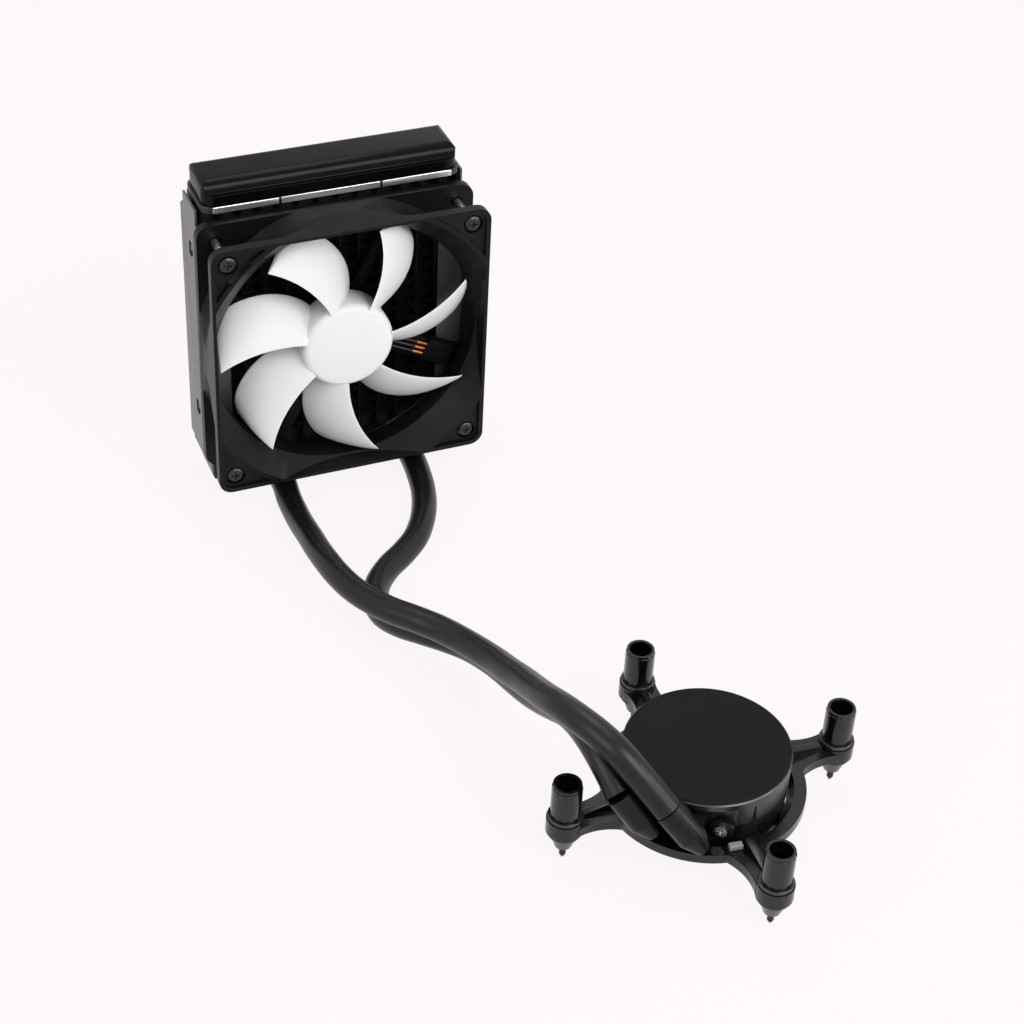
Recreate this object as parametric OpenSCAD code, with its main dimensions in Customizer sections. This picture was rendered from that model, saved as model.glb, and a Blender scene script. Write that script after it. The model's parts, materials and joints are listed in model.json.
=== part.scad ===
/* [Radiator] */
// Depth over the side plate flanges
rad_d = 27; // [25:1:40]
// How far each side plate stands inside the fan's side
side_inset = 2; // [0:0.5:4]
// How far the core reaches beyond the fan at each end
core_margin = 2.5; // [1:0.5:8]
// Height of each end tank with its header
tank_h = 13; // [11:0.5:16]
// Thickness of each header plate at its rim
header_t = 3; // [2:0.5:4]
// Sheet thickness of side plates and core strips
sheet_t = 1; // [0.8:0.1:1.5]
// Width of side plate flange inside the middle of each fan hole
hole_land = 6; // [4:0.5:8]
// Number of flat tubes in the core
tube_n = 12; // [8:1:14]
// Thickness of one flat tube
tube_t = 2; // [1.5:0.1:2.5]
// Depth of the core
core_d = 18; // [14:1:20]
// Number of fin folds in one column
fold_n = 18; // [12:1:24]

/* [Fan] */
// Side of the square fan frame
fan_w = 120; // [92:1:140]
// Depth of the fan frame
fan_d = 25; // [25:1:30]
// Distance of the fan screw holes from the frame's sides
hole_inset = 7.5; // [7:0.25:9]
// Thickness of the front and rear flanges
fan_flange = 4; // [3:0.5:5]
// Gap between the duct's bore and the frame's sides
side_gap = 2; // [1.6:0.1:4]
// Wall of the duct
duct_wall = 2.4; // [1.6:0.2:3]
// Radius of the rotor hub
hub_r = 20; // [18:0.5:22]
// Number of blades
blade_n = 7; // [5:1:9]
// Gap between blade tip and duct
tip_gap = 1.5; // [1:0.1:3]
// Radius of the rotor shaft
shaft_r = 1.5; // [1.2:0.1:2]

/* [Pump] */
// Radius of the pump cover
pump_r = 31.4; // [30:0.2:33]
// Height of the pump cover over the table
pump_top = 37.2; // [35:0.2:40]
// Height of the cold plate face over the table
plate_z = 8; // [7:0.2:9]
// Thickness of the cold plate
plate_t = 3; // [2:0.2:4]
// Height of the pump cover
cover_h = 11.2; // [9:0.2:12]
// Spacing of the two hose ports
port_gap = 18.6; // [18.6:0.1:20]

/* [Retention] */
// Square spacing of the four mounting screws
post_pitch = 80; // [75:1:84]
// Width of the retention ring, outside the pump's lugs
ring_w = 4.6; // [4:0.2:7]
// Thickness of the retention ring
ring_t = 4; // [3:0.5:5]
// Outer radius of the screw sleeves
sleeve_r = 5.7; // [5.5:0.1:6.5]
// Height of the screw sleeves
sleeve_h = 15; // [13:0.5:17]
// Radius of the mounting screw shaft
screw_r = 1.85; // [1.5:0.05:2]

/* [Hoses] */
// Outer diameter of the hoses
hose_d = 11; // [10:0.5:11]

/* [Hidden] */

$fn = 48;
eps = 0.05;
black = "#17181a";
black_gloss = "#0d0e10";
steel = "#c9ccd0";
copper = "#b8683a";

// clearances shared by mating pieces
slip = 0.05;
seat = 0.1;

// radiator values
rad_w = fan_w - 2 * side_inset;
rad_h = fan_w + 2 * (core_margin + tank_h);
hole_pitch = fan_w - 2 * hole_inset;
tank_wall_r = 6;
tank_dome = 5.4;
tank_end_r = 5;
tank_x = rad_w - 6;
core_x = rad_w / 2 - sheet_t - 1;
strip_in = core_x - sheet_t;
core_z0 = tank_h;
core_z1 = rad_h - tank_h;
col_w = (2 * strip_in - tube_n * tube_t) / (tube_n + 1);
tube_pitch = col_w + tube_t;
fin_z0 = core_z0 + 4;
fin_h = core_z1 - core_z0 - 8;
fin_sheet = 1;
crest_gap = 0.02;
plate_z0 = core_z0 + 1.5;
plate_z1 = core_z1 - 6.5;
fan_z = rad_h / 2;
screw_x = hole_pitch / 2;
thread_r = 1.5;
fan_thread_r = 1.75;
flange_w = rad_w / 2 - screw_x + hole_land;
rivet_z = screw_x - 12.5;
rivet_r = 2.4;
rivet_h = 0.8;
hose_z = 6.5;
hose_a_x = -28.5;
hose_b_x = 31;
boss_y = -rad_d / 2 - 2.5;

// fan values, with local z = 0 on the front face and local -z to the rear
fan_y = -rad_d / 2 - fan_d;
duct_r = fan_w / 2 - side_gap;
rim_w = 2;
side_wall = 1.4;
corner_r = 6;
pad_depth = 1.5;
mouth_r = duct_r + 8.5;
mouth_d = 9;
rear_r = duct_r + 5;
rear_d = 7;
hub_face = 4.6;
hub_depth = fan_d - 10.6;
hub_wall = 1.6;
strut_t = 3;
plate_d = 2.4;
motor_z = -fan_d + plate_d;
tower_r = 4.6;
tower_z = -10;
screw_hole_r = 2.2;
head_hole_r = 4.3;
head_sink = 3;
cap_t = 2.2;
bearing_r = 3;
strut_a = -26;
strut_w = 4.5;
slot_w = 13;
lead_w = 10;
lead_r = duct_r - 14;
lead_h = 1.8;
wire_r = 0.8;
blade_tip = duct_r - tip_gap;
blade_front = 3.6;
blade_back = fan_d - 6.6;
tip_angle = -80;

// pump values, in the pump's own frame on the table
pump_at = [59.5, -266.5, 0];
pump_yaw = -43.5;
base_z0 = plate_z + plate_t;
base_z1 = pump_top - cover_h;
base_r = pump_r - 0.4;
plate_r = base_r - 3.5;
lug_n = 9;
lug_a = 16;
lug_r = base_r + 2.4;
lug_t = 2;
flat_y = -(pump_r - 6.9);
brim_t = 3.2;
cover_wall = 2;
wet_r = base_r - 12.8;
cup_r = wet_r - 4;
cup_wall = 1.2;
cup_floor = base_z0 + 4.6;
roof_t = 1.4;
pin_r = 1.2;
port_x = 8.4;
port_y = flat_y - 12.8;
port_z = base_z1;
elbow_r = 5.7;
elbow_l = 15.5;
elbow_up_a = 44;
elbow_up_b = 46;
stub_r = 4.2;
stub_s = 4;
taper_l = 2;
plug_r = 1.3;
boss_x = 15;
boss_z = base_z1 - 2;
boss_r = 4.4;
boss_l = 2.2;
boss_screw_r = 1.15;
plate_screw_r = 1.2;

// retention values
post_r = post_pitch / sqrt(2);
ring_z = base_z0 + 4;
ring_in = lug_r + 0.5;
ring_r = ring_in + ring_w;
arm_w = 26;
neck_w = 12;
fillet_r = 22;
rib_t = 3;
rib_h = 3.5;
eye_r = 7;
clip_r = 4.9;
clip_z0 = 6;
clip_z1 = pump_top - sleeve_h - seat;
eye_z0 = ring_z - 1;
eye_z1 = clip_z1 - 1.6;
socket_r = 4.3;
socket_z = pump_top - 10;
head_h = 2.4;

// hose routes on the table, tank end first
hose_a_pts = [[hose_a_x, boss_y, hose_z], [hose_a_x, boss_y - 12, hose_z], [-29.5, -39, 6], [-30, -51, 6.5],
    [-30.5, -62, 8.5], [-31, -74, 11.5], [-31.5, -85, 14], [-31.5, -96.5, 16.5], [-30.5, -108, 18], [-28, -119.5, 19],
    [-24, -130, 20], [-18.5, -140.5, 21.5], [-12, -150, 23], [-5.5, -159.5, 24], [-0.5, -170, 25.5],
    [3, -181, 28], [5.5, -192, 31], [6.5, -203, 35], [7.5, -214, 39.5], [7.5, -225, 44.5],
    [7.5, -235.5, 49.5], [8.5, -246, 54], [11, -257, 56.5], [15.2, -268, 56.2], [20.4, -278, 52.2]];
hose_b_pts = [[hose_b_x, boss_y, hose_z], [hose_b_x, boss_y - 12, hose_z], [30, -39, 6], [28, -50.5, 5.5],
    [24.5, -61.5, 5.5], [19.5, -72, 5.5], [13, -81.5, 5.5], [4.5, -89.5, 5.5], [-4.5, -96.5, 5.5], [-12, -105, 5.5],
    [-16.5, -115.5, 6], [-17, -126.5, 7.5], [-13.5, -137, 10], [-7.5, -146, 12], [-0.5, -154.5, 13],
    [5.5, -163.5, 14.2], [9.5, -174, 16], [11.5, -185, 18.8], [12.5, -196, 22], [13.5, -207, 25.5],
    [14.5, -217.5, 30], [15.2, -227.5, 35.3], [15.6, -237, 40.6], [15.6, -248, 44.6],
    [15.8, -259.5, 45.6], [16.8, -270, 42.8]];

// small helpers
module ring(ro, ri, z0, z1) {
    translate([0, 0, z0])
        difference() {
            cylinder(r = ro, h = z1 - z0);
            translate([0, 0, -1])
                cylinder(r = ri, h = z1 - z0 + 2);
        }
}

module rod(r, z0, z1) {
    translate([0, 0, z0])
        cylinder(r = r, h = z1 - z0);
}

module cone(r0, r1, z0, z1) {
    translate([0, 0, z0])
        cylinder(r1 = r0, r2 = r1, h = z1 - z0);
}

module rounded_square(w, d, r) {
    square([w - 2 * r, d], center = true);
    square([w, d - 2 * r], center = true);
    for (x = [-1, 1], y = [-1, 1])
        translate([x * (w / 2 - r), y * (d / 2 - r)])
            circle(r = r);
}

module slab(w, d, r, z0, z1) {
    translate([0, 0, z0])
        linear_extrude(height = z1 - z0)
            rounded_square(w, d, r);
}

module cross_recess(r, w, depth) {
    for (a = [0, 90])
        rotate([0, 0, a])
            translate([0, 0, -depth / 2])
                cube([2 * r, w, depth + eps], center = true);
}

module at_corners(pitch) {
    for (x = [-1, 1], y = [-1, 1])
        translate([x * pitch / 2, y * pitch / 2, 0])
            children();
}

// radiator
module tank_profile() {
    dome_r = tank_dome;
    translate([0, dome_r])
        difference() {
            rounded_square(rad_d - 5, 2 * dome_r, dome_r - 0.1);
            translate([-rad_d, 0.6])
                square([2 * rad_d, rad_d]);
        }
    translate([-rad_d / 2 + 0.6, dome_r])
        square([rad_d - 1.2, tank_h - header_t - dome_r]);
}

module tank_shell() {
    intersection() {
        rotate([90, 0, 90])
            linear_extrude(height = tank_x, center = true)
                tank_profile();
        slab(tank_x, rad_d - 1.2, tank_wall_r, 0, tank_h);
        rotate([90, 0, 0])
            linear_extrude(height = rad_d, center = true)
                translate([0, tank_h - 0.3])
                    rounded_square(tank_x + 0.4, 2 * tank_h, tank_end_r);
    }
}

module hose_boss(x) {
    difference() {
        translate([x, boss_y, hose_z])
            rotate([-90, 0, 0])
                cylinder(r = hose_d / 2 + 0.6, h = 9);
        translate([x - 10, -rad_d / 2, tank_h - header_t])
            cube([20, rad_d, 10]);
    }
}

module tank_top() {
    color(black_gloss)
        translate([0, 0, rad_h])
            mirror([0, 0, 1])
                tank_shell();
}

module tank_bottom() {
    color(black_gloss)
        union() {
            tank_shell();
            hose_boss(hose_a_x);
            hose_boss(hose_b_x);
        }
}

module header() {
    notch_x = [-23, 20.5];
    difference() {
        slab(tank_x + 2, rad_d, tank_wall_r, tank_h - header_t, tank_h);
        for (x = notch_x, y = [-1, 1])
            translate([x, y * rad_d / 2, tank_h])
                cube([0.9, 1.6, 2 * header_t + 1], center = true);
    }
}

module header_top() {
    color("#2b2d30")
        translate([0, 0, rad_h])
            mirror([0, 0, 1])
                header();
}

module header_bottom() {
    color("#2b2d30")
        header();
}

module core_tubes() {
    color("#222427")
        for (i = [0 : tube_n - 1])
            translate([-strip_in + col_w + tube_t / 2 + i * tube_pitch, 0, 0])
                slab(tube_t, core_d, tube_t / 2 - 0.05, core_z0, core_z1);
}

// one folded strip, its flat crests on the tube walls
function fold_path(w, n, h) = [for (i = [0 : 2 * n - 1], f = [0.3, 0.7])
    [(i % 2) * w, (i + f) * h / (2 * n)]];

module fin_column() {
    path = fold_path(col_w - fin_sheet - 2 * crest_gap, fold_n, fin_h);
    left = [for (i = [len(path) - 1 : -1 : 0]) path[i]];
    right = [for (p = path) p + [fin_sheet, 0]];
    rotate([90, 0, 0])
        linear_extrude(height = core_d - 1, center = true)
            polygon(concat(right, left));
}

module core_fins() {
    color("#2a2c2f")
        for (i = [0 : tube_n])
            translate([-strip_in + crest_gap + i * tube_pitch, 0, fin_z0])
                fin_column();
}

module core_strips() {
    color("#222427")
        for (s = [-1, 1])
            translate([s * (strip_in + sheet_t / 2), 0, (core_z0 + core_z1) / 2])
                cube([sheet_t, core_d + 1, core_z1 - core_z0], center = true);
}

// the plate on the +X side, with its two flanges and end tongues
module side_plate() {
    x1 = rad_w / 2;
    plate_l = plate_z1 - plate_z0;
    difference() {
        union() {
            translate([x1 - sheet_t, -rad_d / 2, plate_z0])
                cube([sheet_t, rad_d, plate_l]);
            translate([x1 - sheet_t, -core_d / 2, core_z0])
                cube([sheet_t, core_d, core_z1 - core_z0]);
            translate([x1 - flange_w, -rad_d / 2, plate_z0])
                cube([flange_w, sheet_t, plate_l]);
            translate([x1 - flange_w, rad_d / 2 - sheet_t, plate_z0])
                cube([flange_w, sheet_t, plate_l]);
        }
        for (z = [-screw_x, screw_x])
            translate([screw_x, 0, fan_z + z])
                rotate([90, 0, 0])
                    union() {
                        rod(thread_r, -rad_d / 2 - 1, 0);
                        rod(fan_thread_r, 0, rad_d / 2 + 1);
                    }
        for (z = [-rivet_z, rivet_z])
            translate([x1 - sheet_t / 2, 0, fan_z + z])
                rotate([0, 90, 0])
                    difference() {
                        cylinder(r = rivet_r + 1.2, h = sheet_t + 1, center = true);
                        translate([0, rivet_r + 3.8, 0])
                            cube([8, 8, sheet_t + 2], center = true);
                    }
        for (s = [-1, 1])
            translate([x1, s * rad_d / 2, plate_z1])
                rotate([0, 90, 0])
                    cylinder(r = 1.5, h = 6, center = true);
    }
}

module side_plate_right() {
    color("#232528")
        side_plate();
}

module side_plate_left() {
    color("#232528")
        mirror([1, 0, 0])
            side_plate();
}

module side_rivets() {
    color("#3a3c40")
        for (s = [-1, 1], z = [-rivet_z, rivet_z])
            translate([s * core_x, 0, fan_z + z])
                rotate([0, s * 90, 0])
                    union() {
                        cylinder(r = rivet_r, h = rivet_h);
                        translate([0, 0, rivet_h])
                            cylinder(r1 = rivet_r, r2 = rivet_r - 1, h = rivet_h);
                    }
}

// fan
module fan_place() {
    translate([0, fan_y, fan_z])
        rotate([90, 0, 0])
            children();
}

module duct_outside() {
    intersection() {
        union() {
            rod(duct_r + duct_wall, -fan_d, 0);
            cone(duct_r + duct_wall, mouth_r + 2, -mouth_d - 2, 0);
            cone(rear_r + 2, duct_r + duct_wall, -fan_d, -fan_d + rear_d + 2);
        }
        translate([0, 0, -fan_d / 2])
            cube([fan_w, fan_w, fan_d], center = true);
    }
}

// straight bore, with flares that the side walls cut off
module duct_inside() {
    mouth_w = fan_w - 2 * side_wall;
    rear_w = 2 * duct_r - 1;
    rod(duct_r, -fan_d - 1, 1);
    intersection() {
        union() {
            cone(duct_r, mouth_r, -mouth_d, 0);
            rod(mouth_r, 0, 1);
            cone(rear_r, duct_r, -fan_d, -fan_d + rear_d);
            rod(rear_r, -fan_d - 1, -fan_d);
        }
        union() {
            slab(mouth_w, mouth_w, corner_r, -fan_d / 2, 2);
            slab(rear_w, rear_w, corner_r, -fan_d - 2, -fan_d / 2);
        }
    }
}

// sunken pads inside the front rim, one at each corner
module corner_pads() {
    difference() {
        slab(fan_w - 2 * rim_w, fan_w - 2 * rim_w, corner_r - rim_w, -pad_depth, 1);
        rod(mouth_r + 2, -fan_d, 2);
    }
}

module lead_slot() {
    intersection() {
        ring(mouth_r + 3.4, mouth_r + 1.2, -fan_flange - 1, 1);
        rotate([0, 0, 135])
            translate([mouth_r, 0, 0])
                cube([slot_w, slot_w, fan_d], center = true);
    }
}

module fan_frame() {
    color(black)
        fan_place()
            difference() {
                union() {
                    slab(fan_w, fan_w, corner_r, -fan_flange, 0);
                    slab(fan_w, fan_w, corner_r, -fan_d, -fan_d + fan_flange);
                    duct_outside();
                }
                duct_inside();
                corner_pads();
                lead_slot();
                at_corners(hole_pitch)
                    rod(screw_hole_r, -fan_d - 1, 1);
                at_corners(hole_pitch)
                    rod(head_hole_r, -head_sink, 1);
            }
}

module strut(w) {
    translate([hub_r - 2, -w / 2, -fan_d])
        cube([rear_r - hub_r + 3, w, strut_t]);
}

// motor plate, bearing tower and the four struts that end on the duct's rear flare
module fan_spider() {
    color(black)
        fan_place()
            difference() {
                union() {
                    rod(hub_r + 0.4, -fan_d, motor_z);
                    rod(tower_r, -fan_d, tower_z);
                    intersection() {
                        duct_inside();
                        union() {
                            for (a = [90, 180, 270])
                                rotate([0, 0, strut_a + a])
                                    strut(strut_w);
                            rotate([0, 0, strut_a])
                                strut(lead_w);
                        }
                    }
                }
                rod(bearing_r + slip, motor_z + 1, 0);
            }
}

module fan_screws() {
    head_r = head_hole_r - 0.8;
    tip = -fan_d - sheet_t - 1.4;
    color(steel)
        fan_place()
            at_corners(hole_pitch)
                difference() {
                    union() {
                        rod(head_r, -head_sink, -head_sink + 1.4);
                        cone(head_r, head_r - 0.9, -head_sink + 1.4, -head_sink + 2);
                        rod(fan_thread_r - slip, tip, -head_sink);
                    }
                    translate([0, 0, -head_sink + 2])
                        cross_recess(1.7, 0.7, 1);
                }
}

// blade sections on cylinders of radius r: angle and depth of the two edges
function span(r) = (r - hub_r) / (blade_tip - hub_r);
function lead_angle(r) = tip_angle - 11 + 11 * pow(max(span(r), 0), 1.35);
function trail_angle(r) = tip_angle - 47 + 31 * pow(max(span(r), 0), 1.5);
function lead_depth(r) = blade_front + 1.2 * (1 - span(r));
function blade_thick(r) = 2 - 0.7 * span(r);
function mid_point(r, u) = [
    lead_angle(r) + (trail_angle(r) - lead_angle(r)) * u,
    lead_depth(r) + (blade_back - lead_depth(r)) * (0.78 * u + 0.22 * u * u)];
function section_point(r, u, s) =
    let (p = mid_point(r, u),
        q = mid_point(r, u + 0.01),
        run = (q[0] - p[0]) * PI / 180 * r,
        drop = q[1] - p[1],
        len = norm([run, drop]),
        h = s * blade_thick(r) / 2 * (0.35 + 0.65 * sqrt(4 * u * (1 - u))),
        a = p[0] + h * drop / len / r * 180 / PI,
        d = p[1] - h * run / len)
    [r * cos(a), r * sin(a), -d];
chord_n = 7;
section_n = 8;
function section(r) = concat(
    [for (i = [0 : chord_n]) section_point(r, i / chord_n, 1)],
    [for (i = [chord_n : -1 : 0]) section_point(r, i / chord_n, -1)]);

module loft(loops) {
    n = len(loops[0]);
    m = len(loops);
    sides = [for (j = [0 : m - 2], i = [0 : n - 1])
        let (k = (i + 1) % n)
        each [[j * n + i, (j + 1) * n + k, (j + 1) * n + i],
            [j * n + i, j * n + k, (j + 1) * n + k]]];
    half = n / 2;
    cap = [for (i = [0 : half - 2])
        each [[i, n - 2 - i, i + 1], [i, n - 1 - i, n - 2 - i]]];
    top = [for (f = cap) [f[0], f[2], f[1]] + (m - 1) * n * [1, 1, 1]];
    polyhedron(points = [for (l = loops) each l], faces = concat(sides, cap, top));
}

module blade() {
    root = hub_r - 1;
    loft([for (i = [0 : section_n]) section(root + (blade_tip - root) * i / section_n)]);
}

module fan_rotor() {
    boss_ro = 3.6;
    color("white")
        fan_place()
            union() {
                difference() {
                    union() {
                        rod(hub_r, -hub_face - hub_depth, -hub_face - 1.2);
                        cone(hub_r, hub_r - 1.6, -hub_face - 1.2, -hub_face);
                    }
                    rod(hub_r - hub_wall, -hub_face - hub_depth - 1, -hub_face - cap_t);
                }
                difference() {
                    rod(boss_ro, tower_z + 0.6, -hub_face - cap_t + 0.2);
                    rod(shaft_r + 0.01, tower_z, -hub_face - cap_t);
                }
                for (i = [0 : blade_n - 1])
                    rotate([0, 0, i * 360 / blade_n])
                        blade();
            }
}

module rotor_yoke() {
    yoke_r = hub_r - hub_wall - slip;
    color(steel)
        fan_place()
            ring(yoke_r, yoke_r - 1, -hub_face - hub_depth + 0.4, -hub_face - cap_t);
}

module rotor_magnet() {
    magnet_r = hub_r - hub_wall - slip - 1 - slip;
    color("#3b3431")
        fan_place()
            ring(magnet_r, magnet_r - 1.6, -hub_face - hub_depth + 1, -hub_face - cap_t - 0.8);
}

module rotor_shaft() {
    color(steel)
        fan_place()
            rod(shaft_r, motor_z + 1.3, -hub_face - cap_t - slip);
}

module shaft_bearing() {
    color("#8c6b3f")
        fan_place()
            ring(bearing_r, shaft_r + slip, motor_z + 1, tower_z - 0.4);
}

// laminated four-pole core of the motors
core_hub = 2;
shoe_t = 1.8;
shoe_gap = 3;
pole_w = 3;
module pole_core(ro, ri, z0, z1) {
    difference() {
        union() {
            rod(ri + core_hub, z0, z1);
            intersection() {
                rod(ro, z0, z1);
                union() {
                    for (a = [0 : 90 : 270])
                        rotate([0, 0, a])
                            translate([0, -pole_w / 2, z0])
                                cube([ro, pole_w, z1 - z0]);
                    difference() {
                        rod(ro, z0, z1);
                        rod(ro - shoe_t, z0 - 1, z1 + 1);
                        for (a = [45 : 90 : 315])
                            rotate([0, 0, a])
                                translate([0, -shoe_gap / 2, z0 - 1])
                                    cube([ro + 1, shoe_gap, z1 - z0 + 2]);
                    }
                }
            }
        }
        rod(ri, z0 - 1, z1 + 1);
    }
}

// a winding round each pole arm, clear of core and hub
coil_gap = 0.15;
coil_t = 1.4;
coil_max = 5.5;
module pole_coils(ro, ri, z0, z1) {
    r0 = ri + core_hub + coil_gap + 0.8;
    coil_l = min(ro - shoe_t - coil_gap - r0, coil_max - 0.8);
    in_w = pole_w + 2 * coil_gap;
    in_h = z1 - z0 + 2 * coil_gap;
    for (a = [0 : 90 : 270])
        rotate([0, 0, a])
            translate([r0, 0, (z0 + z1) / 2])
                difference() {
                    translate([0, -in_w / 2 - coil_t, -in_h / 2 - coil_t])
                        cube([coil_l, in_w + 2 * coil_t, in_h + 2 * coil_t]);
                    translate([-1, -in_w / 2, -in_h / 2])
                        cube([coil_l + 2, in_w, in_h]);
                }
}

stator_r = hub_r - hub_wall - 1 - 1.6 - 2 * slip - 0.5;
stator_h = fan_d - 19;
stator_z0 = motor_z + 4.2;
stator_z1 = stator_z0 + stator_h;

module stator_core() {
    color("#6b7075")
        fan_place()
            pole_core(stator_r, tower_r + slip, stator_z0, stator_z1);
}

module stator_coils() {
    color(copper)
        fan_place()
            pole_coils(stator_r, tower_r + slip, stator_z0, stator_z1);
}

module fan_board() {
    color("#2d4a35")
        fan_place()
            ring(hub_r - 3.4, tower_r + slip, motor_z, motor_z + 1.2);
}

module lead_block() {
    color("#202226")
        fan_place()
            rotate([0, 0, strut_a])
                translate([lead_r, -lead_w / 2, -fan_d + strut_t])
                    cube([duct_r - lead_r - 0.8, lead_w, lead_h]);
}

module lead_wires() {
    color("#d0793f")
        fan_place()
            rotate([0, 0, strut_a])
                for (i = [-1 : 1])
                    translate([hub_r + 0.6, 3 * wire_r * i, -fan_d + strut_t + wire_r])
                        rotate([0, 90, 0])
                            cylinder(r = wire_r, h = lead_r - hub_r - 0.6);
}

// pump
module pump_place() {
    translate(pump_at)
        rotate([0, 0, pump_yaw])
            children();
}

module around(n, r) {
    for (i = [0 : n - 1])
        rotate([0, 0, i * 360 / n])
            translate([r, 0, 0])
                children();
}

screw_circle = plate_r - 3;

module cold_plate() {
    color(copper)
        pump_place()
            difference() {
                rod(plate_r, plate_z, base_z0);
                around(8, screw_circle)
                    rod(plate_screw_r + seat, plate_z - 1, base_z0 + 1);
                around(8, screw_circle)
                    rod(2.2, plate_z - 1, plate_z + 1.4);
            }
}

module plate_screws() {
    color(steel)
        pump_place()
            around(8, screw_circle)
                difference() {
                    union() {
                        rod(2.1, plate_z + 0.3, plate_z + 1.4);
                        rod(plate_screw_r, plate_z + 1.4, base_z0 + 3.4);
                    }
                    translate([0, 0, plate_z + 0.3])
                        mirror([0, 0, 1])
                            cross_recess(1.1, 0.5, 0.6);
                }
}

seal_r = wet_r + 1.9;

module plate_seal() {
    color("#0b0b0c")
        pump_place()
            rotate_extrude()
                translate([seal_r, base_z0 + 0.75])
                    circle(r = 0.7, $fn = 24);
}

module lugs(r0, r1, z0, z1) {
    intersection() {
        ring(r1, r0, z0, z1);
        for (i = [0 : lug_n - 1])
            rotate([0, 0, i * 360 / lug_n])
                translate([0, 0, z0 - 1])
                    linear_extrude(height = z1 - z0 + 2)
                        polygon([[0, 0], [2 * r1 * cos(lug_a / 2), -2 * r1 * sin(lug_a / 2)],
                            [2 * r1 * cos(lug_a / 2), 2 * r1 * sin(lug_a / 2)]]);
    }
}

// the flat on the hose side, below the cover's brim
module port_flat() {
    translate([-pump_r, flat_y - 20, ring_z + ring_t + 0.6])
        cube([2 * pump_r, 20, pump_top - ring_z - ring_t - 0.6 - brim_t]);
}

module at_boss() {
    translate([boss_x, flat_y, boss_z])
        rotate([90, 0, 0])
            children();
}

module pump_base() {
    color(black)
        pump_place()
            difference() {
                union() {
                    difference() {
                        union() {
                            rod(base_r, base_z0, base_z1);
                            lugs(base_r - 1, lug_r, base_z0, base_z0 + lug_t);
                        }
                        rod(wet_r, base_z0 - 1, base_z1 - roof_t);
                        rod(cup_r - 1, base_z1 - roof_t - 1, base_z1 + 1);
                        ring(seal_r + 0.8, seal_r - 0.8, base_z0 - 1, base_z0 + 1.5);
                        around(8, screw_circle)
                            rod(plate_screw_r + slip, base_z0 - 1, base_z0 + 3.6);
                        port_flat();
                    }
                    difference() {
                        rod(cup_r, cup_floor, base_z1 - roof_t + eps);
                        rod(cup_r - cup_wall, cup_floor + cup_wall, base_z1 + 1);
                        rod(pin_r + 0.01, cup_floor - 1, cup_floor + cup_wall - 0.5);
                    }
                    at_boss()
                        rod(boss_r, -cover_wall, boss_l);
                }
                at_boss()
                    rod(boss_screw_r + slip, -1.2, boss_l + 1);
            }
}

module pump_cover() {
    rim = 0.8;
    roof = 2.6;
    seam = 0.8;
    color(black_gloss)
        pump_place()
            difference() {
                union() {
                    rod(pump_r, base_z1, pump_top - rim);
                    cone(pump_r, pump_r - rim, pump_top - rim, pump_top);
                }
                difference() {
                    rod(pump_r - cover_wall, base_z1 - 1, pump_top - roof);
                    translate([-pump_r, flat_y + cover_wall - 20, 0])
                        cube([2 * pump_r, 20, pump_top]);
                }
                port_flat();
                at_boss()
                    rod(boss_r + seat, -cover_wall - 1, 1);
                for (a = [-38, 8, 152, 198])
                    rotate([0, 0, a])
                        translate([pump_r, 0, base_z1])
                            cube([seam, seam, 14], center = true);
            }
}

impeller_z0 = base_z0 + 0.8;
skirt_ro = wet_r - 0.6;
skirt_ri = cup_r + 0.6;

module pump_impeller() {
    vane_h = 2;
    vane_r = wet_r - 8.2;
    disc_z = impeller_z0 + vane_h;
    color("#e6e2d6")
        pump_place()
            difference() {
                union() {
                    rod(skirt_ro, disc_z, cup_floor - 0.5);
                    ring(skirt_ro, skirt_ro - 0.8, cup_floor - 0.6, base_z1 - roof_t - 1);
                    rod(3, impeller_z0, disc_z + 1);
                    intersection() {
                        rod(skirt_ro, impeller_z0, disc_z + 0.1);
                        for (a = [0 : 60 : 300])
                            rotate([0, 0, a])
                                translate([vane_r - 1, vane_r - 3, 0])
                                    ring(vane_r, vane_r - 1, impeller_z0, disc_z + 0.1);
                    }
                }
                rod(pin_r + slip, impeller_z0 - 1, cup_floor);
            }
}

module impeller_magnet() {
    color("#3b3431")
        pump_place()
            ring(skirt_ro - 0.8 - slip, skirt_ri, cup_floor - 0.5, base_z1 - roof_t - 1);
}

module impeller_pin() {
    color(steel)
        pump_place()
            rod(pin_r, base_z0, cup_floor + cup_wall - 0.5);
}

pump_core_z = cup_floor + cup_wall + 1.7;
pump_core_h = 5;

module pump_core() {
    color("#6b7075")
        pump_place()
            pole_core(cup_r - cup_wall - seat, 2, pump_core_z, pump_core_z + pump_core_h);
}

module pump_coils() {
    color(copper)
        pump_place()
            pole_coils(cup_r - cup_wall - seat, 2, pump_core_z, pump_core_z + pump_core_h);
}

module pump_board() {
    color("#2d4a35")
        pump_place()
            difference() {
                ring(pump_r - 5, cup_r - 1, base_z1, base_z1 + 1.4);
                translate([-pump_r, flat_y - 20 + 2.4, base_z1 - 1])
                    cube([2 * pump_r, 20, 4]);
            }
}

module port_screw() {
    head_t = 1.2;
    color(steel)
        pump_place()
            at_boss()
                difference() {
                    union() {
                        rod(2.4, boss_l, boss_l + head_t);
                        rod(boss_screw_r, -1, boss_l);
                    }
                    translate([0, 0, boss_l + head_t])
                        cross_recess(1.5, 0.6, 0.8);
                }
}

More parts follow.
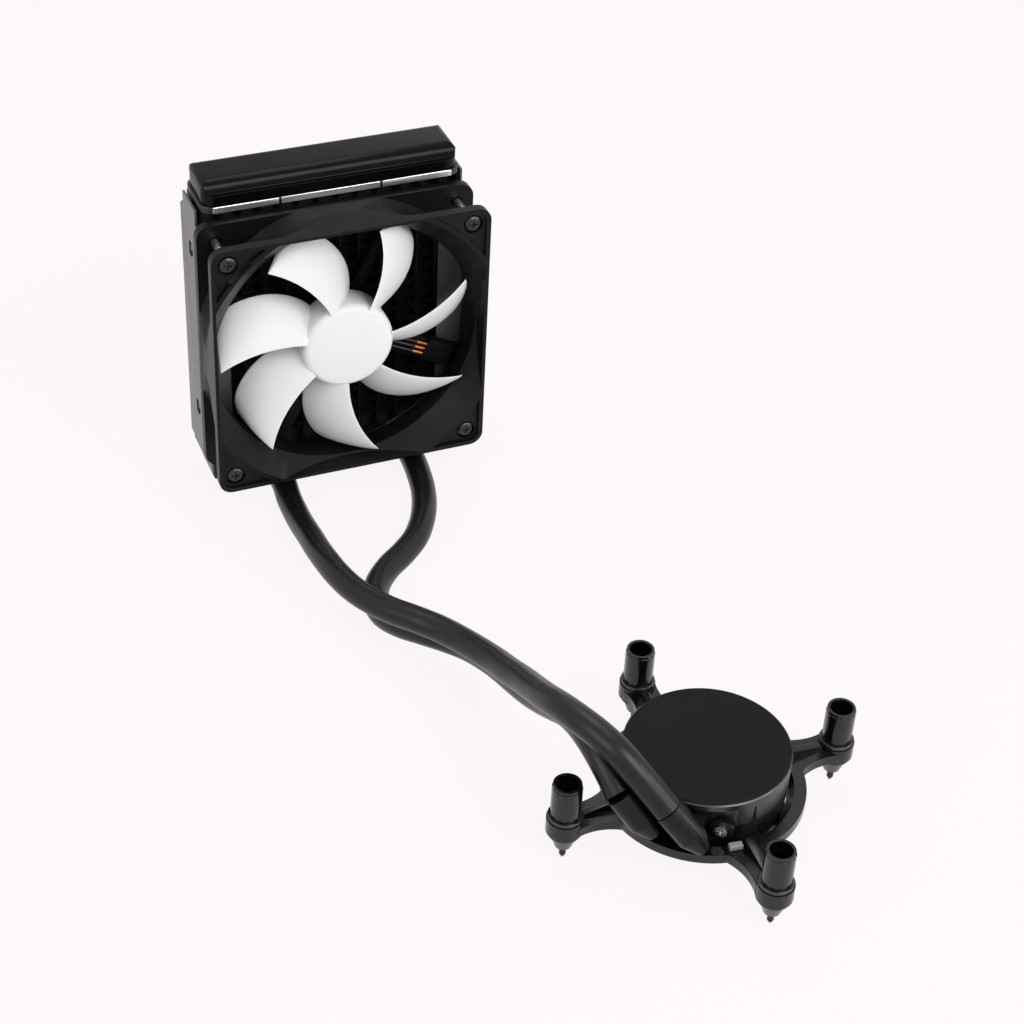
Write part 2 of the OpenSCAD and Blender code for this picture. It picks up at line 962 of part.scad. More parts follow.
// an elbow: tapered barrel in the plane of the ports, and its stub to the pump
module elbow(x, up) {
    difference() {
        union() {
            translate([x, port_y, port_z])
                rotate([0, up - 90, 0])
                    union() {
                        rod(elbow_r, 2, elbow_l);
                        cone(plug_r + 1.4, elbow_r, -taper_l - 3, 2);
                    }
            translate([x - stub_s * cos(up), flat_y, port_z + stub_s * sin(up)])
                rotate([90, 0, 0])
                    union() {
                        rod(stub_r, 0, flat_y - port_y);
                        rod(stub_r + 0.7, 0, 2.6);
                    }
        }
        translate([x, port_y, port_z])
            rotate([0, up - 90, 0])
                rod(plug_r + 0.02, -10, -taper_l - 1.6);
    }
}

port_b_x = port_x - port_gap;

module elbow_a() {
    color(black)
        pump_place()
            elbow(port_x, elbow_up_a);
}

module elbow_b() {
    color(black)
        pump_place()
            elbow(port_b_x, elbow_up_b);
}

module elbow_plugs() {
    color(steel)
        pump_place()
            for (e = [[port_x, elbow_up_a], [port_b_x, elbow_up_b]])
                translate([e[0], port_y, port_z])
                    rotate([0, e[1] - 90, 0])
                        rod(plug_r, -taper_l - 3.6, -taper_l - 1.6);
}

// retention
post_a = [225, 135, 315, 45];
module post_places() {
    for (a = post_a)
        rotate([0, 0, a])
            translate([post_r, 0, 0])
                children();
}

module arm_outline() {
    difference() {
        translate([ring_in - 1, -arm_w / 2])
            square([post_r - ring_in - 1, arm_w]);
        for (s = [-1, 1])
            translate([post_r - eye_r - 1, s * (fillet_r + neck_w / 2)])
                circle(r = fillet_r);
    }
}

module ring_outline() {
    difference() {
        union() {
            circle(r = ring_r);
            for (a = [45 : 90 : 315])
                rotate([0, 0, a])
                    arm_outline();
        }
        circle(r = ring_in);
    }
}

module arm_rib() {
    rotate([90, 0, 0])
        linear_extrude(height = rib_t, center = true)
            polygon([[ring_in + 0.6, ring_z + 1], [ring_in + 0.6, ring_z + ring_t + rib_h],
                [ring_in + rib_t, ring_z + ring_t + rib_h], [post_r - clip_r - 1, ring_z + ring_t + 1],
                [post_r - clip_r - 1, ring_z + 1]]);
}

module retention_ring() {
    color(black)
        pump_place()
            union() {
                difference() {
                    union() {
                        translate([0, 0, ring_z])
                            linear_extrude(height = ring_t)
                                ring_outline();
                        for (a = [45 : 90 : 315])
                            rotate([0, 0, a])
                                union() {
                                    arm_rib();
                                    translate([post_r, 0, 0])
                                        rod(eye_r, eye_z0, eye_z1);
                                }
                    }
                    post_places()
                        rod(clip_r, 0, pump_top);
                }
                lugs(base_r + 0.3, ring_in + 0.5, base_z0 + lug_t + slip, ring_z + ring_t - 0.5);
            }
}

module lock_tab() {
    color("#8e9298")
        pump_place()
            rotate([0, 0, -53])
                translate([ring_in + 0.4, -2.6, ring_z + ring_t])
                    cube([2.6, 5.2, 2.2]);
}

module arm_clips() {
    color("#4a4d52")
        pump_place()
            post_places()
                difference() {
                    union() {
                        rod(clip_r - slip, eye_z0 - 1, eye_z1 + 1);
                        rod(clip_r + 1.7, eye_z1, clip_z1);
                        rod(clip_r + 1.3, eye_z0 - 1.6, eye_z0);
                        cone(screw_r + 1.35, clip_r + 0.5, clip_z0, eye_z0 - 1.6);
                    }
                    rod(screw_r + slip, 0, pump_top);
                }
}

module sleeve_at(i) {
    color(black)
        pump_place()
            rotate([0, 0, post_a[i]])
                translate([post_r, 0, 0])
                    difference() {
                        union() {
                            translate([0, 0, clip_z1 + seat])
                                cylinder(r = sleeve_r, h = sleeve_h - 1.2, $fn = 12);
                            rod(sleeve_r - 0.35, pump_top - 1.2, pump_top);
                        }
                        rod(socket_r, socket_z, pump_top + 1);
                        rod(screw_r + 0.01, 0, pump_top);
                    }
}

module screw_at(i) {
    color(steel)
        pump_place()
            rotate([0, 0, post_a[i]])
                translate([post_r, 0, 0])
                    difference() {
                        union() {
                            rod(3.6, socket_z, socket_z + head_h - 0.8);
                            cone(3.6, 2.8, socket_z + head_h - 0.8, socket_z + head_h);
                            rod(screw_r, 5, socket_z);
                            rod(1.3, 1.6, 5);
                            cone(0.5, 1.3, 0, 1.6);
                        }
                        translate([0, 0, socket_z + head_h])
                            cross_recess(2.1, 0.9, 1.4);
                    }
}

// hoses
function elbow_end(x, up) = [x - elbow_l * cos(up), port_y, port_z + elbow_l * sin(up)];
function to_world(p) = [
    pump_at[0] + p[0] * cos(pump_yaw) - p[1] * sin(pump_yaw),
    pump_at[1] + p[0] * sin(pump_yaw) + p[1] * cos(pump_yaw),
    p[2]];
function unit(v) = v / norm(v);
function elbow_dir(up) = [cos(up) * cos(pump_yaw), cos(up) * sin(pump_yaw), -sin(up)];
function tangents(p, first, last) = [for (i = [0 : len(p) - 1])
    i == 0 ? first : i == len(p) - 1 ? last : unit(p[i + 1] - p[i - 1])];
function hose_ring(c, t, r, n) =
    let (side = unit(cross(t, [0, 0, 1])), up = cross(side, t))
    [for (k = [0 : n - 1]) c + r * (cos(k * 360 / n) * side + sin(k * 360 / n) * up)];

module hose(points, last) {
    n = 12;
    t = tangents(points, [0, -1, 0], last);
    rings = [for (i = [0 : len(points) - 1]) hose_ring(points[i], t[i], hose_d / 2, n)];
    m = len(rings);
    sides = [for (j = [0 : m - 2], i = [0 : n - 1])
        let (k = (i + 1) % n)
        each [[j * n + i, j * n + k, (j + 1) * n + k],
            [j * n + i, (j + 1) * n + k, (j + 1) * n + i]]];
    start = [for (i = [n - 1 : -1 : 0]) i];
    end = [for (i = [0 : n - 1]) (m - 1) * n + i];
    color("#1b1c1e")
        polyhedron(points = [for (r = rings) each r], faces = concat(sides, [start], [end]));
}

module hose_a() {
    hose(concat(hose_a_pts, [to_world(elbow_end(port_x, elbow_up_a))]), elbow_dir(elbow_up_a));
}

module hose_b() {
    hose(concat(hose_b_pts, [to_world(elbow_end(port_b_x, elbow_up_b))]), elbow_dir(elbow_up_b));
}

tank_top();
tank_bottom();
header_top();
header_bottom();
core_tubes();
core_fins();
core_strips();
side_plate_left();
side_plate_right();
side_rivets();
fan_frame();
fan_spider();
fan_screws();
fan_rotor();
rotor_yoke();
rotor_magnet();
rotor_shaft();
shaft_bearing();
stator_core();
stator_coils();
fan_board();
lead_block();
lead_wires();
cold_plate();
plate_screws();
plate_seal();
pump_base();
pump_cover();
pump_impeller();
impeller_magnet();
impeller_pin();
pump_core();
pump_coils();
pump_board();
port_screw();
elbow_a();
elbow_b();
elbow_plugs();
retention_ring();
lock_tab();
arm_clips();
sleeve_at(0);  // sleeve_1
sleeve_at(1);  // sleeve_2
sleeve_at(2);  // sleeve_3
sleeve_at(3);  // sleeve_4
screw_at(0);  // screw_1
screw_at(1);  // screw_2
screw_at(2);  // screw_3
screw_at(3);  // screw_4
hose_a();
hose_b();
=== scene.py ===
import json
import math

import bmesh
import bpy
from mathutils import Matrix, Vector

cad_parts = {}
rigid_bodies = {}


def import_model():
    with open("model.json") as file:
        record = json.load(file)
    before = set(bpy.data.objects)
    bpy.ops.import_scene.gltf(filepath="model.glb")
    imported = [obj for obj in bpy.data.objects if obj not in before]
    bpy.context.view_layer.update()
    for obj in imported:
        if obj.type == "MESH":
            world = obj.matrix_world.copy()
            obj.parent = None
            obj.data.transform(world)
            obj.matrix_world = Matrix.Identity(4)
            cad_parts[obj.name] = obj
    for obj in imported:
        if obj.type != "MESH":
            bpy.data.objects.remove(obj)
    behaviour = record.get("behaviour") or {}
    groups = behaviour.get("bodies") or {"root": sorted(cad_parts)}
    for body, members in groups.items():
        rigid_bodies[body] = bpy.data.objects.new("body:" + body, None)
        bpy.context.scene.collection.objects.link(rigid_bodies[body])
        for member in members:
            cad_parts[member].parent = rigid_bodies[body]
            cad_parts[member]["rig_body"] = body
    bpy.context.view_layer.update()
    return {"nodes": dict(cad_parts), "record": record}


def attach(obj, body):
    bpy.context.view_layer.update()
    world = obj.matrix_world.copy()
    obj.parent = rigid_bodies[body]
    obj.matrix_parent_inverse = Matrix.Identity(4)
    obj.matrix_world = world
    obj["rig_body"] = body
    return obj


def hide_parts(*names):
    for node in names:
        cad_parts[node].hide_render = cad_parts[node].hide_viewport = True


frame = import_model()
nodes = frame["nodes"]
scene = bpy.context.scene

MM = 0.001

# the pump's own frame on the table, and the fan's front face, as in part.scad
PUMP_AT = Vector((59.5, -266.5, 0)) * MM
PUMP_YAW = math.radians(-43.5)
FAN_FACE = Vector((0, -38.5, 75.5)) * MM


def camera():
    """The photograph's camera."""
    data = bpy.data.cameras.new("camera")
    data.sensor_width = 36
    data.lens = 81.77
    data.clip_start, data.clip_end = 0.05, 20
    cam = bpy.data.objects.new("camera", data)
    cam.location = (-0.26142, -0.80503, 0.62777)
    heading, tilt, roll = (math.radians(a) for a in (-23.784, 51.934, 3.134))
    turn = Matrix.Rotation(heading, 3, "Z") @ Matrix.Rotation(tilt, 3, "X") @ Matrix.Rotation(roll, 3, "Z")
    cam.rotation_euler = turn.to_euler()
    scene.collection.objects.link(cam)
    scene.camera = cam


class Graph:
    """A material's nodes, with short calls for the few kinds used here."""

    def __init__(self, name):
        self.material = bpy.data.materials.new(name)
        self.material.use_nodes = True
        self.tree = self.material.node_tree
        self.shader = self.tree.nodes["Principled BSDF"]
        self.where = self.add("ShaderNodeTexCoord").outputs["Object"]

    def add(self, kind, **values):
        node = self.tree.nodes.new(kind)
        for key, value in values.items():
            setattr(node, key, value)
        return node

    def link(self, a, b):
        self.tree.links.new(a, b)

    def noise(self, scale, detail=3, stretch=None):
        node = self.add("ShaderNodeTexNoise")
        node.inputs["Scale"].default_value = scale
        node.inputs["Detail"].default_value = detail
        source = self.where
        if stretch:
            mapping = self.add("ShaderNodeMapping")
            mapping.inputs["Scale"].default_value = stretch
            self.link(source, mapping.inputs["Vector"])
            source = mapping.outputs["Vector"]
        self.link(source, node.inputs["Vector"])
        return node.outputs["Fac"]

    def remap(self, value, low, high, start=0.3, end=0.7):
        node = self.add("ShaderNodeMapRange")
        node.inputs["From Min"].default_value = start
        node.inputs["From Max"].default_value = end
        node.inputs["To Min"].default_value = low
        node.inputs["To Max"].default_value = high
        self.link(value, node.inputs["Value"])
        return node.outputs["Result"]

    def colours(self, value, stops):
        node = self.add("ShaderNodeValToRGB")
        ramp = node.color_ramp
        while len(ramp.elements) < len(stops):
            ramp.elements.new(0.5)
        for element, (place, colour) in zip(ramp.elements, stops):
            element.position = place
            element.color = (*colour, 1)
        self.link(value, node.inputs["Fac"])
        return node.outputs["Color"]

    def radius(self, x, z):
        """Distance from the line through (x, z) that runs along the row's y axis."""
        shift = self.add("ShaderNodeVectorMath", operation="SUBTRACT")
        shift.inputs[1].default_value = (x, 0, z)
        self.link(self.where, shift.inputs[0])
        flat = self.add("ShaderNodeVectorMath", operation="MULTIPLY")
        flat.inputs[1].default_value = (1, 0, 1)
        self.link(shift.outputs["Vector"], flat.inputs[0])
        size = self.add("ShaderNodeVectorMath", operation="LENGTH")
        self.link(flat.outputs["Vector"], size.inputs[0])
        return size.outputs["Value"]

    def along(self, axis):
        """One coordinate of the surface point in the row frame."""
        split = self.add("ShaderNodeSeparateXYZ")
        self.link(self.where, split.inputs["Vector"])
        return split.outputs[axis]

    def bump(self, value, depth, strength=1.0):
        node = self.add("ShaderNodeBump")
        node.inputs["Distance"].default_value = depth
        node.inputs["Strength"].default_value = strength
        self.link(value, node.inputs["Height"])
        self.link(node.outputs["Normal"], self.shader.inputs["Normal"])


def shade(colour, factor):
    return tuple(min(1, c * factor) for c in colour)


def surface(name, colour, rough, specular=0.5, metallic=0.0, grain=900, depth=0.00002, vary=0.12,
            stretch=None, coat=0.0, cloud=40):
    """A moulded, painted or machined surface: colour clouds, uneven gloss and a fine grain."""
    g = Graph(name)
    s = g.shader
    s.inputs["Metallic"].default_value = metallic
    s.inputs["Specular IOR Level"].default_value = specular
    s.inputs["Coat Weight"].default_value = coat
    s.inputs["Coat Roughness"].default_value = 0.12
    clouds = g.noise(cloud, 4)
    g.link(g.colours(clouds, [(0.3, shade(colour, 1 - vary)), (0.7, shade(colour, 1 + vary))]),
           s.inputs["Base Color"])
    fine = g.noise(grain, 3, stretch)
    g.link(g.remap(fine, max(0.03, rough - 0.05), min(1, rough + 0.05)), s.inputs["Roughness"])
    g.bump(fine, depth)
    return g.material


def two_part(name, first, second, where, low, high, specular=0.5):
    """A surface with two colours that change over between two values of a place on it.

    first and second are (colour, roughness, metallic), and where is "X", "Y", "Z" or "fan_radius".
    """
    g = Graph(name)
    place = g.radius(0, 0.0755) if where == "fan_radius" else g.along(where)
    share = g.remap(place, 0, 1, low, high)
    s = g.shader
    clouds = g.noise(60, 4)
    plain = [g.colours(clouds, [(0.3, shade(c, 0.9)), (0.7, shade(c, 1.1))]) for c, _, _ in (first, second)]
    mix = g.add("ShaderNodeMix", data_type="RGBA")
    # the colour mixer's own sockets come after its number and vector ones
    g.link(share, mix.inputs[0])
    g.link(plain[0], mix.inputs[6])
    g.link(plain[1], mix.inputs[7])
    g.link(mix.outputs[2], s.inputs["Base Color"])
    g.link(g.remap(place, first[1], second[1], low, high), s.inputs["Roughness"])
    g.link(g.remap(place, first[2], second[2], low, high), s.inputs["Metallic"])
    s.inputs["Specular IOR Level"].default_value = specular
    g.bump(g.noise(1600, 3), 0.00001)
    return g.material


MATERIALS = {
    "tank_plastic": surface("tank_plastic", (0.002, 0.002, 0.0022), 0.2, 0.1, grain=1400, depth=0.00001),
    "radiator_paint": surface("radiator_paint", (0.003, 0.003, 0.0033), 0.5, 0.15, grain=1800, depth=0.00003),
    "dark_steel": surface("dark_steel", (0.06, 0.06, 0.065), 0.35, 0.5, 0.8),
    "frame_plastic": surface("frame_plastic", (0.0035, 0.0037, 0.0039), 0.42, 0.17, grain=2600, depth=0.00004),
    "white_plastic": surface("white_plastic", (0.8, 0.79, 0.795), 0.42, 0.35, grain=1500, depth=0.00001,
                             vary=0.012),
    "bright_steel": surface("bright_steel", (0.72, 0.73, 0.75), 0.25, 0.5, 1.0, stretch=(1, 1, 0.1)),
    "ferrite": surface("ferrite", (0.06, 0.055, 0.05), 0.6, 0.4),
    "bronze": surface("bronze", (0.45, 0.3, 0.14), 0.4, 0.5, 0.9),
    "core_steel": surface("core_steel", (0.35, 0.36, 0.38), 0.35, 0.5, 0.9, stretch=(0.1, 0.1, 6)),
    "copper": surface("copper", (0.72, 0.34, 0.18), 0.3, 0.5, 1.0),
    "board_green": surface("board_green", (0.02, 0.11, 0.05), 0.4),
    "seal_rubber": surface("seal_rubber", (0.01, 0.01, 0.01), 0.7, 0.3),
    "pump_plastic": surface("pump_plastic", (0.0035, 0.0035, 0.0038), 0.34, 0.24, grain=2200),
    "pump_gloss": surface("pump_gloss", (0.003, 0.003, 0.0032), 0.42, 0.16, grain=2200, depth=0.00001),
    "inner_plastic": surface("inner_plastic", (0.75, 0.72, 0.64), 0.45),
    "ring_plastic": surface("ring_plastic", (0.0025, 0.0025, 0.0028), 0.2, 0.45, grain=1600, depth=0.00001),
    "grey_plastic": surface("grey_plastic", (0.3, 0.31, 0.33), 0.4),
    "clip_plastic": surface("clip_plastic", (0.012, 0.0125, 0.013), 0.2, 0.6, grain=1600, depth=0.00001),
    "hose_rubber": surface("hose_rubber", (0.0045, 0.0045, 0.0047), 0.33, 0.32, grain=3000, depth=0.00003),
}
# the same slots where a piece or a part of it has another finish, or a lighter finish that is painted highlight
# and sheen (side plates, header front strip, pump cover side)
BLACK_SCREW = surface("black_screw", (0.012, 0.012, 0.013), 0.3, 0.5, 0.5, grain=1600, depth=0.00001)
FINISHES_AND_PAINTED_SHEEN = {
    # side plates: the radiator paint made lighter, a painted sheen for the bright reflection on them
    "side_plate_left": surface("side_plate_painted_sheen", (0.045, 0.046, 0.048), 0.36, 1.0, grain=1800, depth=0.00002),
    "fan_screws": two_part("fan_screw", ((0.006, 0.006, 0.006), 0.3, 0), ((0.72, 0.73, 0.75), 0.25, 1), "Y",
                           -0.0352, -0.0346),
    "lead_wires": two_part("lead_wire", ((0.006, 0.006, 0.006), 0.4, 0), ((0.72, 0.3, 0.1), 0.3, 1), "fan_radius",
                           0.0388, 0.0392),
    # header's front strip: near-white metal in front of y = -13.35 mm, a painted highlight on the black-painted
    # header
    "header_top": two_part("header_front_painted_highlight", ((0.86, 0.86, 0.87), 0.35, 1), ((0.003, 0.003, 0.0033), 0.4, 0), "Y",
                           -0.01335, -0.0133),
    # pump cover: grey metal on the side below z = 36.7 mm, a painted sheen for the highlight on the side; black
    # above
    "pump_cover": two_part("cover_side_painted_sheen", ((0.075, 0.075, 0.077), 0.3, 0.9), ((0.003, 0.003, 0.0032), 0.42, 0), "Z",
                           0.0367, 0.0369, specular=0.1),
    **{"screw_%d" % i: BLACK_SCREW for i in (1, 2, 3, 4)},
}
FINISHES_AND_PAINTED_SHEEN["side_plate_right"] = FINISHES_AND_PAINTED_SHEEN["side_plate_left"]


def new_object(name, mesh, body, slot, node=None):
    obj = bpy.data.objects.new(name, mesh)
    scene.collection.objects.link(obj)
    obj.data.materials.append(FINISHES_AND_PAINTED_SHEEN.get(node, MATERIALS[slot]))
    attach(obj, body)
    return obj


# hose routes on the table, in millimetres, tank end first
HOSE_D = 0.011
ELBOW_L = 15.5
HOSE_A = [
    (-28.5, -16, 6.5), (-28.5, -28, 6.5), (-29.5, -39, 6), (-30, -51, 6.5), (-30.5, -62, 8.5),
    (-31, -74, 11.5), (-31.5, -85, 14), (-31.5, -96.5, 16.5), (-30.5, -108, 18), (-28, -119.5, 19),
    (-24, -130, 20), (-18.5, -140.5, 21.5), (-12, -150, 23), (-5.5, -159.5, 24), (-0.5, -170, 25.5),
    (3, -181, 28), (5.5, -192, 31), (6.5, -203, 35), (7.5, -214, 39.5), (7.5, -225, 44.5),
    (7.5, -235.5, 49.5), (8.5, -246, 54), (11, -257, 56.5), (15.2, -268, 56.2), (20.4, -278, 52.2)]
HOSE_B = [
    (31, -16, 6.5), (31, -28, 6.5), (30, -39, 6), (28, -50.5, 5.5), (24.5, -61.5, 5.5),
    (19.5, -72, 5.5), (13, -81.5, 5.5), (4.5, -89.5, 5.5), (-4.5, -96.5, 5.5), (-12, -105, 5.5),
    (-16.5, -115.5, 6), (-17, -126.5, 7.5), (-13.5, -137, 10), (-7.5, -146, 12), (-0.5, -154.5, 13),
    (5.5, -163.5, 14.2), (9.5, -174, 16), (11.5, -185, 18.8), (12.5, -196, 22), (13.5, -207, 25.5),
    (14.5, -217.5, 30), (15.2, -227.5, 35.3), (15.6, -237, 40.6), (15.6, -248, 44.6),
    (15.8, -259.5, 45.6), (16.8, -270, 42.8)]


def pump_point(x, y, z):
    """A point of the pump's own frame, given in millimetres."""
    return PUMP_AT + Matrix.Rotation(PUMP_YAW, 3, "Z") @ Vector((x, y, z)) * MM


def elbow_end(x, up):
    a = math.radians(up)
    return pump_point(x - ELBOW_L * math.cos(a), -37.3, 26 + ELBOW_L * math.sin(a))


def smooth_path(points, steps=8):
    """Catmull-Rom line through the points."""
    ends = [points[0] * 2 - points[1], *points, points[-1] * 2 - points[-2]]
    line = []
    for i in range(1, len(ends) - 2):
        a, b, c, d = ends[i - 1:i + 3]
        for k in range(steps):
            t = k / steps
            line.append(0.5 * (2 * b + (c - a) * t + (2 * a - 5 * b + 4 * c - d) * t * t
                               + (3 * b - a - 3 * c + d) * t ** 3))
    return line + [points[-1]]


def hose(name, route, end):
    line = smooth_path([Vector(p) * MM for p in route] + [end])
    curve = bpy.data.curves.new(name, "CURVE")
    curve.dimensions = "3D"
    curve.bevel_depth = HOSE_D / 2
    curve.bevel_resolution = 8
    curve.use_fill_caps = True
    spline = curve.splines.new("POLY")
    spline.points.add(len(line) - 1)
    for point, place in zip(spline.points, line):
        point.co = (*place, 1)
    obj = new_object(name + "_skin", curve, "cooler", "hose_rubber")
    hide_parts(name)
    length = sum((b - a).length for a, b in zip(line, line[1:]))
    return length


camera()
lengths = [hose("hose_a", HOSE_A, elbow_end(8.4, 44)), hose("hose_b", HOSE_B, elbow_end(-10.2, 46))]
print("hose lengths", lengths)


def area_light(name, place, target, size, power, size_y=None):
    data = bpy.data.lights.new(name, "AREA")
    data.energy = power
    data.size = size
    if size_y:
        data.shape = "RECTANGLE"
        data.size_y = size_y
    lamp = bpy.data.objects.new(name, data)
    lamp.location = place
    lamp.rotation_euler = (Vector(target) - Vector(place)).to_track_quat("-Z", "Y").to_euler()
    scene.collection.objects.link(lamp)


def seen_white(tree, node_in, lit, white, amount):
    """Camera, mirror and glass rays see white, all other rays see the lit shader."""
    path = tree.nodes.new("ShaderNodeLightPath")
    total = path.outputs["Is Camera Ray"]
    for other in ("Is Glossy Ray", "Is Transmission Ray"):
        more = tree.nodes.new("ShaderNodeMath")
        more.operation = "MAXIMUM"
        tree.links.new(total, more.inputs[0])
        tree.links.new(path.outputs[other], more.inputs[1])
        total = more.outputs[0]
    share = tree.nodes.new("ShaderNodeMath")
    share.operation = "MULTIPLY"
    share.inputs[1].default_value = amount
    tree.links.new(total, share.inputs[0])
    mix = tree.nodes.new("ShaderNodeMixShader")
    tree.links.new(share.outputs[0], mix.inputs["Fac"])
    tree.links.new(lit, mix.inputs[1])
    tree.links.new(white, mix.inputs[2])
    tree.links.new(mix.outputs[0], node_in)


def stage():
    mesh = bpy.data.meshes.new("floor")
    w = 6
    mesh.from_pydata([(-w, -w, 0), (w, -w, 0), (w, w, 0), (-w, w, 0)], [], [(0, 1, 2, 3)])
    floor = bpy.data.objects.new("floor", mesh)
    scene.collection.objects.link(floor)
    paper = bpy.data.materials.new("floor_paper")
    paper.use_nodes = True
    tree = paper.node_tree
    tree.nodes.clear()
    out = tree.nodes.new("ShaderNodeOutputMaterial")
    lit = tree.nodes.new("ShaderNodeBsdfDiffuse")
    lit.inputs["Color"].default_value = (0.9, 0.89, 0.885, 1)
    white = tree.nodes.new("ShaderNodeEmission")
    white.inputs["Color"].default_value = (0.985, 0.955, 0.945, 1)
    seen_white(tree, out.inputs["Surface"], lit.outputs[0], white.outputs[0], 0.93)
    mesh.materials.append(paper)

    world = bpy.data.worlds.new("studio")
    scene.world = world
    world.use_nodes = True
    tree = world.node_tree
    tree.nodes.clear()
    out = tree.nodes.new("ShaderNodeOutputWorld")
    dim = tree.nodes.new("ShaderNodeBackground")
    dim.inputs["Color"].default_value = (1, 1, 1, 1)
    dim.inputs["Strength"].default_value = 0.45
    white = tree.nodes.new("ShaderNodeBackground")
    white.inputs["Color"].default_value = (0.985, 0.955, 0.945, 1)
    seen_white(tree, out.inputs["Surface"], dim.outputs[0], white.outputs[0], 1)

    middle = (0.03, -0.15, 0.05)
    area_light("key", (0.35, -1.1, 0.95), middle, 0.7, 9)
    area_light("fill", (-1.2, -0.5, 0.8), middle, 0.8, 5)
    area_light("top", (0.1, 0.4, 1.3), middle, 0.7, 4)
    area_light("side", (1.1, -0.95, 0.45), (0.05, -0.26, 0.03), 0.35, 5, 0.9)


stage()


def make_mesh(name, verts, faces, sharp=None):
    mesh = bpy.data.meshes.new(name)
    mesh.from_pydata([tuple(v) for v in verts], [], faces)
    mesh.update()
    for p in mesh.polygons:
        p.use_smooth = True
    if sharp:
        mesh.set_sharp_from_angle(angle=math.radians(sharp))
    return mesh


def to_fan(p):
    """From the fan's local frame, in millimetres with z = 0 on the front face, to the row frame."""
    return FAN_FACE + Vector((p[0], -p[2], p[1])) * MM


HUB_R = 20
BLADE_TIP = 56.5
TIP_ANGLE = -80


def blade_section(r, count):
    """One closed section of the blade on the cylinder of radius r, front side first."""
    u_span = (r - HUB_R) / (BLADE_TIP - HUB_R)
    held = max(u_span, 0)
    # the trailing corner of the tip is rounded with a 6 mm radius
    near_tip = min(1, max(0, (r - BLADE_TIP + 6) / 6))
    cut = 6 * (1 - math.sqrt(1 - near_tip * near_tip))
    lead = TIP_ANGLE - 11 + 14 * held ** 1.35
    trail = TIP_ANGLE - 47 + 29.5 * held ** 1.5 + cut
    z0 = 3.6 + 1.2 * (1 - u_span)
    z1 = 18.4
    thick = 2 - 0.7 * u_span

    def middle(u):
        return lead + (trail - lead) * u, z0 + (z1 - z0) * (0.78 * u + 0.22 * u * u)

    def place(u, side):
        a0, d0 = middle(u)
        a1, d1 = middle(u + 0.01)
        run, drop = math.radians(a1 - a0) * r, d1 - d0
        size = math.hypot(run, drop)
        h = side * thick / 2 * math.sqrt(max(0, 1 - (2 * u - 1) ** 6)) * (0.62 + 0.38 * math.sin(math.pi * u))
        a = math.radians(a0) + h * drop / size / r
        d = d0 - h * run / size
        return r * math.cos(a), r * math.sin(a), -d

    steps = [0.5 - 0.5 * math.cos(math.pi * i / count) for i in range(count + 1)]
    front = [place(u, 1) for u in steps]
    back = [place(u, -1) for u in reversed(steps[1:-1])]
    return front + back


def fan_wheel():
    verts, faces = [], []
    count, spans = 22, 26
    root = HUB_R - 1
    for blade in range(7):
        turn = Matrix.Rotation(math.radians(blade * 360 / 7), 3, "Z")
        base = len(verts)
        rows = []
        for j in range(spans + 1):
            # the sections lie closer together toward the tip
            r = root + (BLADE_TIP - root) * math.sin(math.pi / 2 * j / spans)
            rows.append([turn @ Vector(p) for p in blade_section(r, count)])
        n = len(rows[0])
        for row in rows:
            verts += [to_fan(p) for p in row]
        for j in range(spans):
            for i in range(n):
                k = (i + 1) % n
                a = base + j * n
                faces.append((a + i, a + k, a + n + k, a + n + i))
        top = base + spans * n
        for i in range(count):
            lo_a, lo_b = base + (n - i) % n, base + n - i - 1
            hi_a, hi_b = top + (n - i) % n, top + n - i - 1
            if i == 0:
                faces.append((base, base + n - 1, base + 1))
                faces.append((top, top + 1, top + n - 1))
            elif i < count - 1:
                faces.append((base + i, lo_a, lo_b, base + i + 1))
                faces.append((top + i, top + i + 1, hi_b, hi_a))
            else:
                faces.append((base + i, lo_a, base + i + 1))
                faces.append((top + i, top + i + 1, hi_a))
    # hub: domed cap with a rounded shoulder, open at the back
    profile = [(0.0, -4.62), (1.5, -4.6), (2.4, -4.55), (5, -4.6), (9, -4.69), (13, -4.82), (16, -4.95)]
    for k in range(0, 9):
        a = math.radians(84 - 84 * k / 8)
        profile.append((17 + 3 * math.cos(a), -8 + 3 * math.sin(a)))
    profile += [(20, -18.8), (19.8, -19), (18.5, -19), (18.4, -18.8), (18.4, -6.25), (0, -6.25)]
    around = 96
    base = len(verts)
    rings = []
    for r, z in profile:
        if r == 0:
            rings.append([len(verts)])
            verts.append(to_fan((0, 0, z)))
        else:
            rings.append(list(range(len(verts), len(verts) + around)))
            for k in range(around):
                a = 2 * math.pi * k / around
                verts.append(to_fan((r * math.cos(a), r * math.sin(a), z)))
    for a, b in zip(rings, rings[1:]):
        for k in range(around):
            m = (k + 1) % around
            if len(a) == 1:
                faces.append((a[0], b[k], b[m]))
            elif len(b) == 1:
                faces.append((a[k], b[0], a[m]))
            else:
                faces.append((a[k], b[k], b[m], a[m]))
    mesh = make_mesh("fan_wheel_skin", verts, faces, sharp=50)
    bm = bmesh.new()
    bm.from_mesh(mesh)
    bmesh.ops.recalc_face_normals(bm, faces=bm.faces)
    bm.to_mesh(mesh)
    bm.free()
    wheel = new_object("fan_wheel_skin", mesh, "fan_wheel", "white_plastic")
    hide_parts("fan_rotor")


fan_wheel()


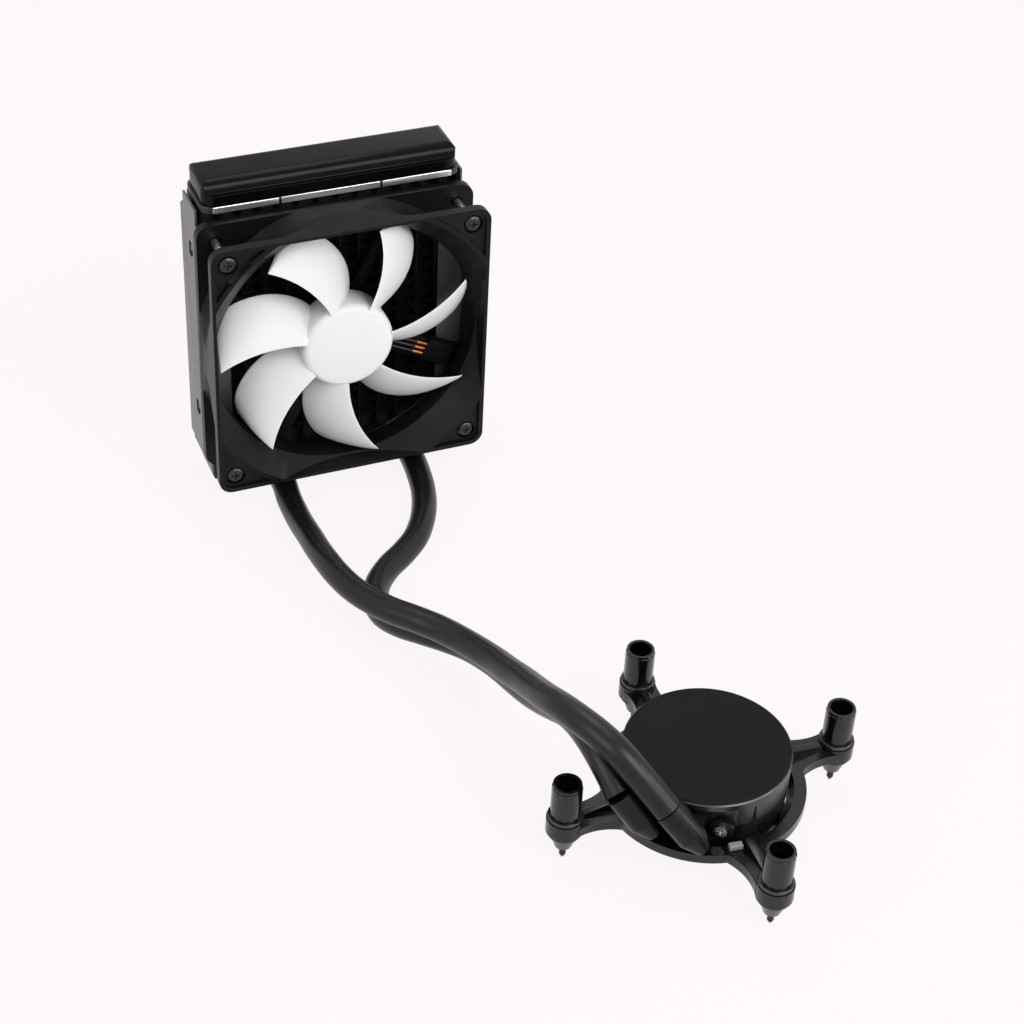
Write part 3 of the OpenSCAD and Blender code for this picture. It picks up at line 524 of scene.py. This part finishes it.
EDGES = {
    "tank_top": 0.8, "tank_bottom": 0.8, "header_top": 0.3, "header_bottom": 0.3,
    "fan_frame": 0.35, "fan_spider": 0.2, "pump_cover": 0.35, "pump_base": 0.3, "retention_ring": 0.4,
    "elbow_a": 0.3, "elbow_b": 0.3, "side_plate_left": 0.25, "side_plate_right": 0.25,
    "arm_clips": 0.25, "sleeve_1": 0.25, "sleeve_2": 0.25, "sleeve_3": 0.25, "sleeve_4": 0.25,
    "lock_tab": 0.3, "fan_screws": 0.15,
}
slots = {p["node"]: p["material_slot"] for p in frame["record"]["subparts"]}


def rounded(node, width):
    """A copy of a CAD node with small rounded edges, which stands for it."""
    source = nodes[node]
    mesh = source.data.copy()
    bm = bmesh.new()
    bm.from_mesh(mesh)
    bmesh.ops.remove_doubles(bm, verts=bm.verts, dist=1e-6)
    bmesh.ops.dissolve_limit(bm, angle_limit=math.radians(1.5), verts=bm.verts, edges=bm.edges)
    bm.to_mesh(mesh)
    bm.free()
    mesh.materials.clear()
    obj = new_object(node + "_skin", mesh, source["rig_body"], slots[node], node)
    bevel = obj.modifiers.new("edges", "BEVEL")
    bevel.width = width * MM
    bevel.segments = 2
    bevel.limit_method = "ANGLE"
    bevel.angle_limit = math.radians(32)
    bevel.harden_normals = False
    for p in mesh.polygons:
        p.use_smooth = True
    mesh.set_sharp_from_angle(angle=math.radians(40))
    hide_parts(node)
    return obj


def skirt():
    """The ring's thin inner skirt, a plain annulus that closes its gap to the pump."""
    verts, faces = [], []
    around = 120
    corners = [(31.35, 13.3), (34.2, 13.3), (34.2, 15.4), (33.6, 15.4), (33.6, 14.1), (31.35, 14.1)]
    for k in range(around):
        a = 2 * math.pi * k / around
        verts += [pump_point(r * math.cos(a), r * math.sin(a), z) for r, z in corners]
    n = len(corners)
    for k in range(around):
        for i in range(n):
            a, b = k * n, (k + 1) % around * n
            faces.append((a + i, b + i, b + (i + 1) % n, a + (i + 1) % n))
    new_object("ring_skirt", make_mesh("ring_skirt", verts, faces, sharp=40), "lock_ring", "ring_plastic")


skirt()
for name, obj in nodes.items():
    if obj.hide_render:
        continue
    if name in EDGES:
        rounded(name, EDGES[name])
    else:
        obj.data.materials.clear()
        obj.data.materials.append(FINISHES_AND_PAINTED_SHEEN.get(name, MATERIALS[slots[name]]))

scene.view_settings.view_transform = "Standard"
